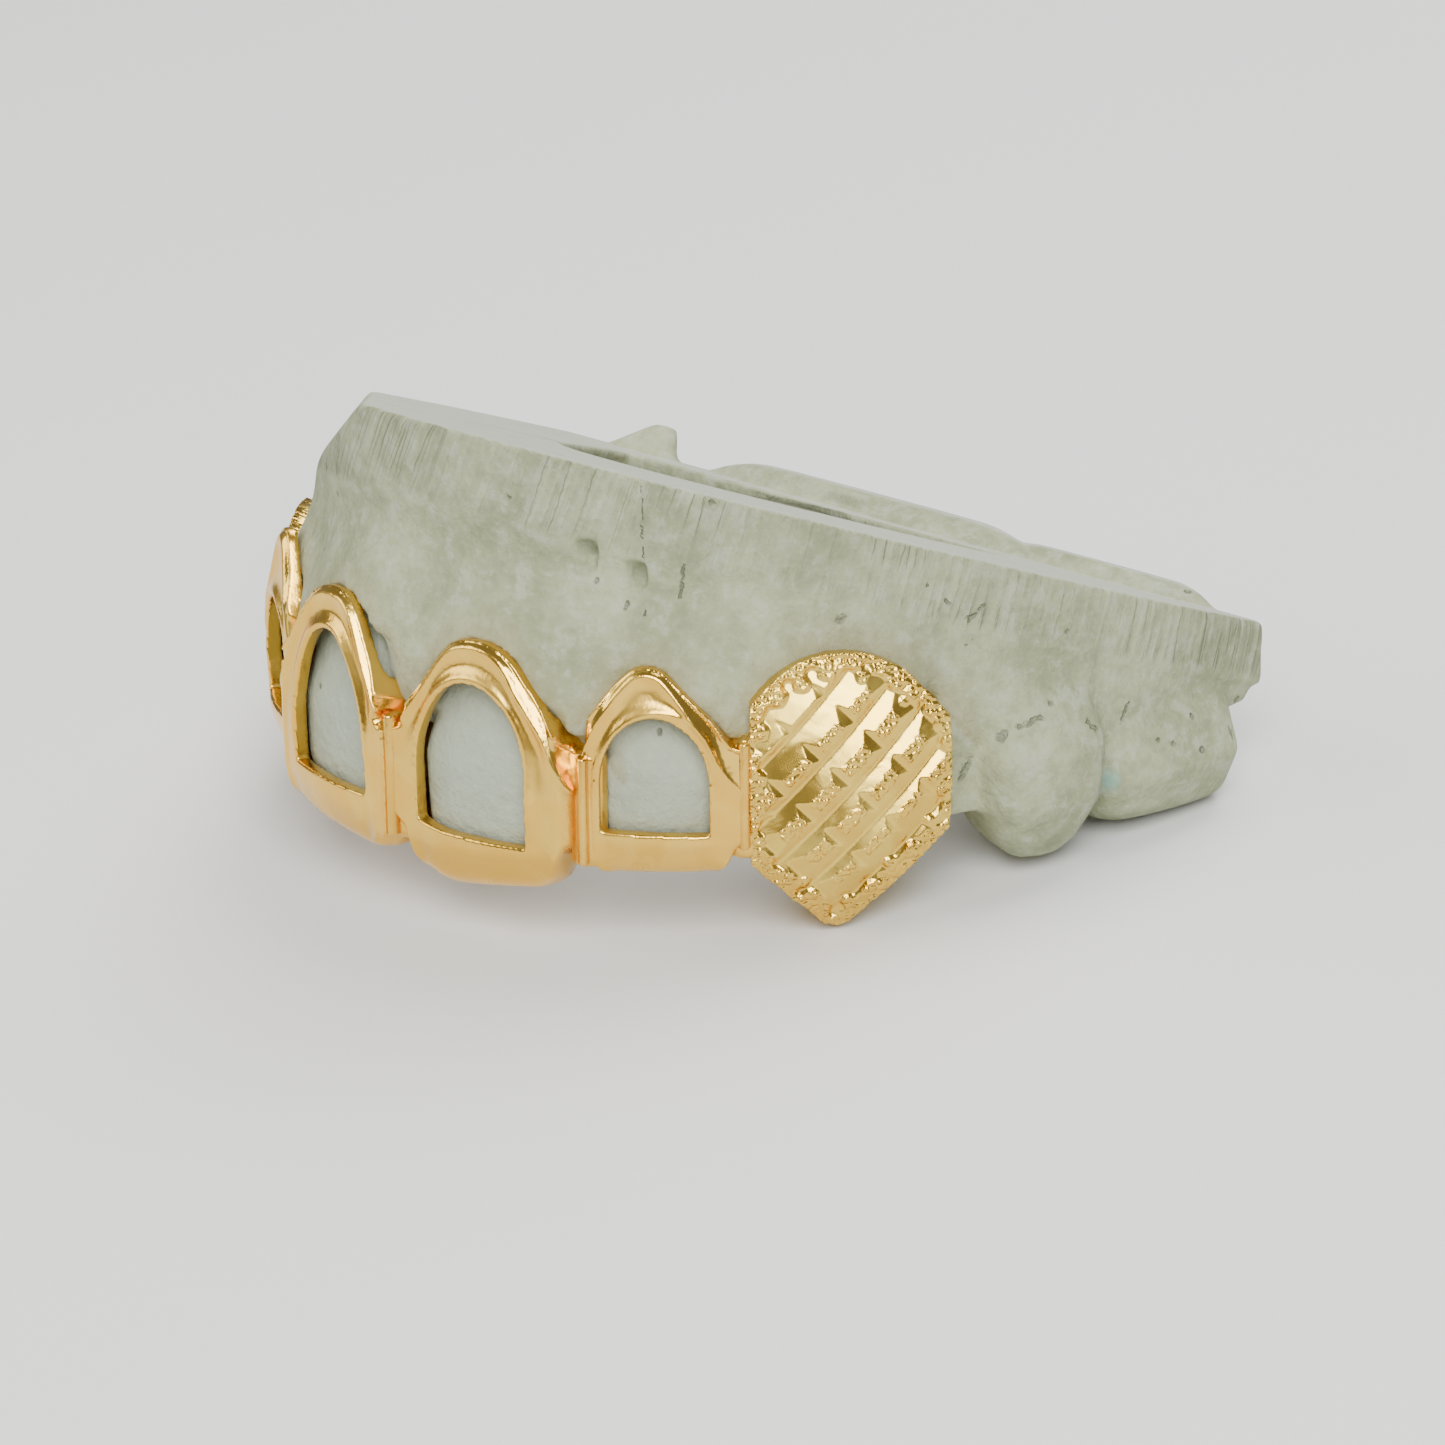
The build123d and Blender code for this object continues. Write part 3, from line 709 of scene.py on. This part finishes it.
grain_rows = [
    # name, scale, detail, roughness of each layer of grain
    ("cloud", 260.0, 4.0, 0.6),
    ("blotch", 900.0, 4.0, 0.65),
    ("mottle", 1100.0, 5.0, 0.7),
    ("speck", 2600.0, 3.0, 0.5),
]
noises = {}
for name, scale, detail, roughness in grain_rows:
    noise_settings = {"Vector": place, "Scale": scale, "Detail": detail, "Roughness": roughness}
    noises[name] = add_node(stone, "TexNoise", noise_settings).outputs["Fac"]
stain = mark_at(stain_spot, stain_spot, stain_width)

colour = blend(stone, ramp(stone, noises["cloud"], 0.35, 0.65), plaster_green, plaster_light)
colour = paint_over(stone, colour, [
    # where, how strong, which colour
    (ramp(stone, noises["mottle"], 0.50, 0.64), 0.38, plaster_pale),
    (ramp(stone, noises["mottle"], 0.36, 0.50, 1.0, 0.0), 0.22, plaster_dark),
    # painted light: the flat top painted paler, as if lit more strongly than the walls
    (mask_of(stone, "painted_top_light"), 0.8, plaster_pale),
    (mask_of(stone, "stump"), 0.8, plaster_grey),
    (ramp(stone, noises["speck"], 0.52, 0.72), 0.20, plaster_pale),
    # painted shade and reflection of the caps on the plaster round their margins
    (mask_of(stone, "painted_gold_shade"), 0.55, painted_gold_shade_tint),
    (scratches, 0.16, plaster_dark),
    (combed, 0.15, plaster_dark),
    (grooves, 0.16, plaster_dark),
    # painted shade: the pits, cracks and slits painted dark, for the shade inside them that their
    # bump does not give
    (all_marks, 0.62, plaster_dark),
    (stain, 0.6, stain_teal),
])
stone.links.new(colour, plaster_shader.inputs["Base Color"])
plaster_shader.inputs["Roughness"].default_value = 0.82
plaster_relief = bump_of(stone, [
    # what, how far it raises or sinks the plaster
    (noises["cloud"], 0.22),
    (noises["blotch"], 0.17),
    (noises["speck"], 0.045),
    (noises["mottle"], 0.10),
    (scratches, -0.045),
    (combed, -0.045),
    (grooves, -0.07),
    (all_marks, -0.16),
])
stone.links.new(plaster_relief, plaster_shader.inputs["Normal"])
cast.data.materials.append(plaster)
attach(cast, "root")
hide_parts("dental_cast")
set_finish(cast, "dental_stone")

# Open-faced caps. Four shells of cast and polished gold on the front teeth, each with an arched
# window that shows the plaster of its stump. A broad bevel, filed wider towards the joints,
# runs along the gum, the face below it is hollowed a little, and the window has a low lip.
open_grain = 0.08
cut_overlap = 0.08
right_lateral_rise = 1.4
bevel_least = 0.22
bevel_flank = 0.40
bevel_joint = 0.65
bevel_slope = 0.45
bevel_depth = 0.30
ridge_height = 0.10
hollow_depth = 0.13
lip_height = 0.06
corner_push = 0.8
cap_smoothing = 120
least_softness = 0.05
unseen_share = 0.3
window_rows = {
    # side, name: width, height, sill, shift, lean, share of the height that the head takes
    (1, "central"): (5.6, 6.7, 2.05, -0.35, 0.0, 0.57),
    (1, "lateral"): (4.6, 5.0, 3.0, -0.55, -5.0, 0.57),
    (-1, "central"): (5.6, 6.7, 2.75, -0.35, 0.0, 0.85),
    (-1, "lateral"): (4.6, 5.0, 3.5, -0.55, -5.0, 0.57),
}
cut_rows = {
    # name: first cut x, y, turn, second cut x, y, turn
    "central": (0.0, 0.0, 0.0, 8.443, 2.613, 25.0),
    "lateral": (8.443, 2.613, 25.0, 13.683, 6.752, 47.0),
    "canine": (13.683, 6.752, 47.0, 40.0, 40.0, 47.0),
}
gold_deep = (0.76, 0.44, 0.065, 1)
gold_light = (0.86, 0.56, 0.11, 1)
pit_brown = (0.10, 0.04, 0.014, 1)


def cut_piece(name, cap_side, side_name):
    """One cap cut from the solid, a little beyond the middle of each solder bar."""
    piece = merged_copy("tooth_covers", f"{name}_cap_{side_name}")
    row = cut_rows[name]
    for x, y, turn, sign in ((*row[:3], -1), (*row[3:], 1)):
        angle = math.radians(turn)
        along = Vector((cap_side * math.cos(angle), math.sin(angle), 0)) * sign
        point = Vector((cap_side * x, y, 0)) + along * cut_overlap
        only(piece)
        bpy.ops.object.mode_set(mode="EDIT")
        bpy.ops.mesh.select_all(action="SELECT")
        bpy.ops.mesh.bisect(
            plane_co=from_mouth(point), plane_no=mouth_turn @ along, use_fill=True, clear_outer=True,
        )
        bpy.ops.object.mode_set(mode="OBJECT")
    return piece


def window_line(width, height, sill, shift, lean, head_share):
    """Outline of a window: sill, straight sides and a half-oval head."""
    head = height * head_share
    spring = sill + height - head
    angles = np.linspace(0, math.pi, 33)
    arch = np.stack([shift + width / 2 * np.cos(angles), spring + head * np.sin(angles)], 1)
    feet = np.array([[shift - width / 2, sill], [shift + width / 2, sill]])
    turn = math.radians(lean)
    spin = np.array([[math.cos(turn), -math.sin(turn)], [math.sin(turn), math.cos(turn)]])
    return np.concatenate([arch, feet, arch[:1]]) @ spin.T


for cap_side, name, x, y, turn, half_width, *edge in cap_rows:
    if name == "canine":
        continue
    side_name = "left" if cap_side > 0 else "right"
    cap = cut_piece(name, cap_side, side_name)
    apply_modifier(cap, "REMESH", mode="VOXEL", voxel_size=open_grain * mm)

    # Away from its edges the shell is smoothed, so that no steps of the remesh are left
    window = window_rows[cap_side, name]
    outline = window_line(*window)
    sill = window[2]
    places = to_mouth(points_of(cap), cap_side)
    normals = mouth_normals(cap, cap_side)
    u, depth = on_tooth(places, x, y, turn)
    angle = math.radians(turn)
    facing = normals[:, :2] @ np.array([math.sin(angle), -math.cos(angle)])
    outer = smooth_step(facing, 0.05, 0.45) * (1 - smooth_step(depth, 2.6, 3.6))
    to_window = distance_to_run(np.stack([u, places[:, 2]], 1), outline)
    to_gum = np.maximum(below_gum(u, places[:, 2], *edge), 0)
    to_edge = np.minimum(to_window, to_gum)
    far_in = smooth_step(to_edge, 0.15, 1.1) * (depth < 5)
    give_weights(cap, "softness", least_softness + (1 - least_softness) * far_in)
    apply_modifier(cap, "SMOOTH", factor=0.5, iterations=cap_smoothing, vertex_group="softness")

    # The bevel along the gum, the ridge under it, the hollow face and the lip of the window
    off_peak = np.abs(u - edge[1])
    bevel = bevel_least + bevel_flank * smooth_step(off_peak, 0.8, half_width - 0.6)
    bevel += bevel_joint * smooth_step(off_peak, half_width - 1.1, half_width + 0.1)
    if name == "central":
        bevel *= 1 - 0.4 * smooth_step(-u, 0.5, 3.0)
    upper = smooth_step(places[:, 2], sill + 1.2, sill + 4.0)
    drop = -np.clip(bevel_slope * (bevel - to_gum), 0, bevel_depth)
    ridge = ridge_height * np.exp(-((to_gum - bevel - 0.10) / 0.16) ** 2)
    hollow = -hollow_depth * smooth_step(to_gum, bevel + 0.15, bevel + 0.8)
    hollow *= smooth_step(to_window, 0.25, 0.8)
    lip = lip_height * np.exp(-((to_window - 0.25) / 0.15) ** 2)
    lip *= smooth_step(places[:, 2], sill, sill + 1.5)
    lift = (drop + ridge + hollow * upper + lip) * outer
    moved = to_mouth(points_of(cap), cap_side) + mouth_normals(cap, cap_side) * lift[:, None]

    # The sides stand square to the solder bars, and the lower corners are filed round
    u, depth = on_tooth(moved, x, y, turn)
    at_side = smooth_step(np.abs(u), half_width - 1.7, half_width - 0.7) * (facing > -0.1)
    push = corner_push * (depth - 0.30) * at_side * (1 - smooth_step(depth, 1.2, 1.7)) * (depth > 0.3)
    push *= 1 - smooth_step(moved[:, 2], 8.4, 10.0)
    moved += np.array([math.sin(angle), -math.cos(angle), 0]) * push[:, None]
    moved = lower_flanks(round_corners(moved, cap_side), cap_side)
    if (cap_side, name) == (-1, "lateral"):
        moved[:, 2] += right_lateral_rise * smooth_step(moved[:, 2], 8.6, 11.0)
    move_points(cap, from_mouth_all(moved, cap_side))
    apply_modifier(cap, "SMOOTH", factor=0.5, iterations=4)

    # Mask of the bevel along the gum: the gold paints it lighter, a painted highlight, and makes it a
    # little smoother for its real polish
    give_mask(cap, "polished_bevel_highlight", outer * (1 - smooth_step(to_gum, bevel - 0.05, bevel + 0.10)))
    thin_out(cap, (facing < -0.3) | (depth > 4.5), unseen_share)
    only(cap)
    bpy.ops.object.shade_smooth()
    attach(cap, "root")
    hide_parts("tooth_covers")
    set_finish(cap, "gold")

# Wear of the gold, shared by the caps, the solder strips and the canine caps: smudges, hairlines
# from the polishing wheel and tiny pits. It gives only numbers; each metal uses them by itself.
wear, _, wear_out = start_group(
    "gold_wear", [], [("Smudge", "Float"), ("Hairline", "Float"), ("Pit", "Float")],
)
wear_place = add_node(wear, "TexCoord").outputs["Object"]
smudge_settings = {"Scale": 420.0, "Detail": 4.0, "Distortion": 0.6}
smudge = add_node(wear, "TexNoise", {"Vector": wear_place, **smudge_settings})
wear.links.new(ramp(wear, smudge.outputs["Fac"], 0.38, 0.68), wear_out["Smudge"])
drawn = vectors(wear, "MULTIPLY", wear_place, (1.0, 1.0, 0.12)).outputs[0]
hair = add_node(wear, "TexNoise", {"Vector": drawn, "Scale": 9000.0, "Detail": 2.0})
wear.links.new(ramp(wear, hair.outputs["Fac"], 0.40, 0.70), wear_out["Hairline"])
dots = add_node(wear, "TexVoronoi", {"Vector": wear_place, "Scale": 1500.0}, feature="F1")
dot_chance = add_node(wear, "SeparateColor", {"Color": dots.outputs["Color"]}).outputs[0]
rare = sum_up(wear, "LESS_THAN", dot_chance, 0.10)
dot = sum_up(wear, "MULTIPLY", ramp(wear, dots.outputs["Distance"], 0.04, 0.12, 1.0, 0.0), rare)
wear.links.new(dot, wear_out["Pit"])

gold = bpy.data.materials.new("polished_gold")
gold.use_nodes = True
metal = gold.node_tree
gold_shader = metal.nodes["Principled BSDF"]
worn = place_group(metal, wear).outputs
tone = blend(metal, ramp(metal, worn["Smudge"], 0.0, 1.0, 0.15, 0.75), gold_deep, gold_light)
tone = paint_over(metal, tone, [
    # painted highlight: the bevel along the gum painted a lighter gold
    (mask_of(metal, "polished_bevel_highlight"), 0.6, gold_light),
    (worn["Pit"], 0.6, pit_brown),
])
metal.links.new(tone, gold_shader.inputs["Base Color"])
gold_shader.inputs["Metallic"].default_value = 1.0
gloss = ramp(metal, worn["Smudge"], 0.0, 1.0, 0.20, 0.30)
gloss = sum_up(metal, "SUBTRACT", gloss, sum_up(metal, "MULTIPLY", mask_of(metal, "polished_bevel_highlight"), 0.06))
metal.links.new(gloss, gold_shader.inputs["Roughness"])
gold_relief = bump_of(metal, [
    (worn["Smudge"], 0.012),
    (worn["Hairline"], 0.002),
    (worn["Pit"], -0.02),
])
metal.links.new(gold_relief, gold_shader.inputs["Normal"])
for piece in bpy.context.scene.objects:
    if piece.get("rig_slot") == "gold":
        piece.data.materials.append(gold)

# Solder strips. Where two caps meet, a thin upright rod of gold was laid in the seam and run in
# with the torch. It stands almost flush between the faces, with a dark line on each side.
strip_rows = [
    # side, name, x, y, turn, half_width, half_depth, bottom, top
    (1, "bed_one", 8.78, 2.62, 38.0, 0.78, 0.62, 1.30, 6.45),
    (1, "bed_two", 13.85, 6.72, 47.0, 0.72, 0.60, 1.85, 7.00),
    (1, "bed_middle", 0.0, 0.25, 0.0, 0.80, 0.60, 1.05, 6.40),
    (-1, "bed_one", 8.70, 2.30, 32.0, 0.85, 0.70, 1.50, 6.70),
    (-1, "bed_two", 13.85, 6.72, 47.0, 0.72, 0.60, 2.20, 7.00),
    (1, "one", 9.02, 2.02, 41.5, 0.25, 0.40, 1.55, 6.30),
    (1, "two", 14.07, 6.40, 45.0, 0.29, 0.45, 2.35, 7.05),
    (1, "middle", 0.0, -0.34, 0.0, 0.26, 0.45, 1.25, 6.70),
    (-1, "one", 8.95, 1.90, 34.0, 0.26, 0.55, 1.55, 6.60),
    (-1, "two", 14.07, 6.36, 45.0, 0.29, 0.45, 2.35, 7.05),
]

strip_gold = bpy.data.materials.new("solder_gold")
strip_gold.use_nodes = True
seam = strip_gold.node_tree
seam_shader = seam.nodes["Principled BSDF"]
seam_smudge = place_group(seam, wear).outputs["Smudge"]
seam.links.new(blend(seam, seam_smudge, gold_deep, gold_light), seam_shader.inputs["Base Color"])
seam_shader.inputs["Metallic"].default_value = 1.0
seam.links.new(ramp(seam, seam_smudge, 0.0, 1.0, 0.24, 0.38), seam_shader.inputs["Roughness"])
seam.links.new(bump_of(seam, [(seam_smudge, 0.02)]), seam_shader.inputs["Normal"])

for cap_side, name, x, y, turn, half_width, half_depth, bottom, top_end in strip_rows:
    side_name = "left" if cap_side > 0 else "right"
    bpy.ops.object.select_all(action="DESELECT")
    spin = mouth_turn @ Matrix.Rotation(cap_side * math.radians(turn), 3, "Z")
    bpy.ops.mesh.primitive_cylinder_add(
        vertices=32, radius=mm, depth=(top_end - bottom) * mm,
        location=from_mouth((cap_side * x, y, (bottom + top_end) / 2)), rotation=spin.to_euler(),
    )
    strip = bpy.context.active_object
    strip.name = f"solder_strip_{name}_{side_name}"
    strip.data.name = strip.name
    strip.scale = (half_width, half_depth, 1)
    bpy.ops.object.transform_apply(location=True, rotation=True, scale=True)
    strip_round = half_width * 0.5
    apply_modifier(strip, "BEVEL", width=strip_round * mm, segments=4, limit_method="ANGLE")
    only(strip)
    bpy.ops.object.shade_smooth()
    strip.data.materials.append(strip_gold)
    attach(strip, "root")
    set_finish(strip, "gold")

# Canine caps. The outer cap on each side is closed, with a domed front cut by crossed V grooves.
# The facets of the cuts are smooth; what is left of the dome between them, and a band round the
# edge, was beaten all over with a fine round punch, which left it grainy.
canine_grain = 0.06
canine_unseen_share = 0.2
dome_radius = 16.0
dome_height = 4.8
bead_pitch = 0.27
bead_height = 0.05
bead_sink = 0.02
bead_spread = 0.55
border = 0.75
skin_depth = 0.03
right_canine_rise = 0.4
canine_tip_line = np.array([(-9.0, 5.9), (-0.45, -1.95), (9.0, 7.2)])
scatter_along = (127.1, 311.7, 43758.5)
scatter_up = (269.5, 183.3, 28001.8)
cut_deep = (0.70, 0.44, 0.07, 1)
cut_light = (0.82, 0.60, 0.13, 1)


def scatter(column, row, seed):
    """A share from 0 to 1 for each cell of a grid, the same in every run."""
    value = np.sin(column * seed[0] + row * seed[1]) * seed[2]
    return value - np.floor(value)


def distance_to_bead(u, w):
    """Distance to the nearest mark of the punch; each cell of a grid holds one."""
    column = np.floor(u / bead_pitch)
    row = np.floor(w / bead_pitch)
    nearest_bead = np.full(len(u), 9.0)
    for step_u in (-1, 0, 1):
        for step_w in (-1, 0, 1):
            cell = (column + step_u, row + step_w)
            bead_u = (cell[0] + 0.2 + 0.6 * scatter(*cell, scatter_along)) * bead_pitch
            bead_w = (cell[1] + 0.2 + 0.6 * scatter(*cell, scatter_up)) * bead_pitch
            nearest_bead = np.minimum(nearest_bead, np.hypot(u - bead_u, w - bead_w))
    return nearest_bead


for cap_side, name, x, y, turn, half_width, *edge in cap_rows:
    if name != "canine":
        continue
    side_name = "left" if cap_side > 0 else "right"
    canine = cut_piece(name, cap_side, side_name)
    apply_modifier(canine, "REMESH", mode="VOXEL", voxel_size=canine_grain * mm)
    apply_modifier(canine, "SMOOTH", factor=0.5, iterations=1)
    places = to_mouth(points_of(canine), cap_side)
    normals = mouth_normals(canine, cap_side)
    angle = math.radians(turn)
    inward = np.array([-math.sin(angle), math.cos(angle), 0])
    u, depth = on_tooth(places, x, y, turn)
    w = places[:, 2]
    middle = np.array([x, y, dome_height]) + inward * dome_radius
    spoke = places - middle
    radius = np.linalg.norm(spoke, axis=1)
    front = smooth_step(normals @ -inward, 0.25, 0.5)
    front *= smooth_step(radius, dome_radius - 0.55, dome_radius - 0.45)
    to_tip_edge = distance_to_run(np.stack([u, w], 1), canine_tip_line)
    to_border = np.minimum(np.minimum(below_gum(u, w, *edge), to_tip_edge), half_width - np.abs(u))
    wander = 0.25 * np.sin(u * 5.1 + w * 2.3) + 0.2 * np.sin(w * 6.7 - u * 3.1)
    in_border = 1 - smooth_step(to_border + wander, border - 0.25, border + 0.15)
    uncut = smooth_step(radius, dome_radius - 0.045, dome_radius - 0.015)
    fill = np.clip(dome_radius - skin_depth - radius, 0, 0.4) * in_border * front
    grain = np.maximum(uncut, in_border) * front
    off_bead = distance_to_bead(u, w) / (bead_pitch * bead_spread)
    bead = bead_height * np.clip(1 - off_bead ** 2, -0.5, 1)
    lift = fill + (bead - bead_sink) * grain + (right_canine_rise * front if cap_side < 0 else 0)
    moved = places + spoke / radius[:, None] * lift[:, None]
    move_points(canine, from_mouth_all(moved, cap_side))
    give_mask(canine, "grain", grain)
    unseen = (normals @ inward > 0.3) | (depth > 4.5) | (radius < dome_radius - 0.6)
    thin_out(canine, unseen, canine_unseen_share)
    only(canine)
    bpy.ops.object.shade_smooth()
    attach(canine, "root")
    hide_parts("tooth_covers")
    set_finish(canine, "gold")

cut_gold = bpy.data.materials.new("diamond_cut_gold")
cut_gold.use_nodes = True
facets = cut_gold.node_tree
cut_shader = facets.nodes["Principled BSDF"]
cut_smudge = place_group(facets, wear).outputs["Smudge"]
cut_place = add_node(facets, "TexCoord").outputs["Object"]
grit = add_node(facets, "TexVoronoi", {"Vector": cut_place, "Scale": 4200.0}, feature="F1")
grit_colour = add_node(facets, "SeparateColor", {"Color": grit.outputs["Color"]}).outputs[0]
grain_mask = mask_of(facets, "grain")
cut_tone = blend(facets, ramp(facets, cut_smudge, 0.0, 1.0, 0.2, 0.8), cut_deep, cut_light)
in_grain = sum_up(facets, "MULTIPLY", grit_colour, grain_mask)
cut_tone = paint_over(facets, cut_tone, [(in_grain, 0.5, gold_deep)])
facets.links.new(cut_tone, cut_shader.inputs["Base Color"])
cut_shader.inputs["Metallic"].default_value = 1.0
facets.links.new(ramp(facets, cut_smudge, 0.0, 1.0, 0.20, 0.32), cut_shader.inputs["Roughness"])
grit_bump = ramp(facets, grit.outputs["Distance"], 0.0, 0.8, 1.0, 0.0)
grit_bump = sum_up(facets, "MULTIPLY", grit_bump, grain_mask)
cut_relief = bump_of(facets, [(grit_bump, 0.05), (cut_smudge, 0.012)])
facets.links.new(cut_relief, cut_shader.inputs["Normal"])
for piece in bpy.context.scene.objects:
    if piece.name.startswith("canine_cap"):
        piece.data.materials.append(cut_gold)

bpy.context.view_layer.update()
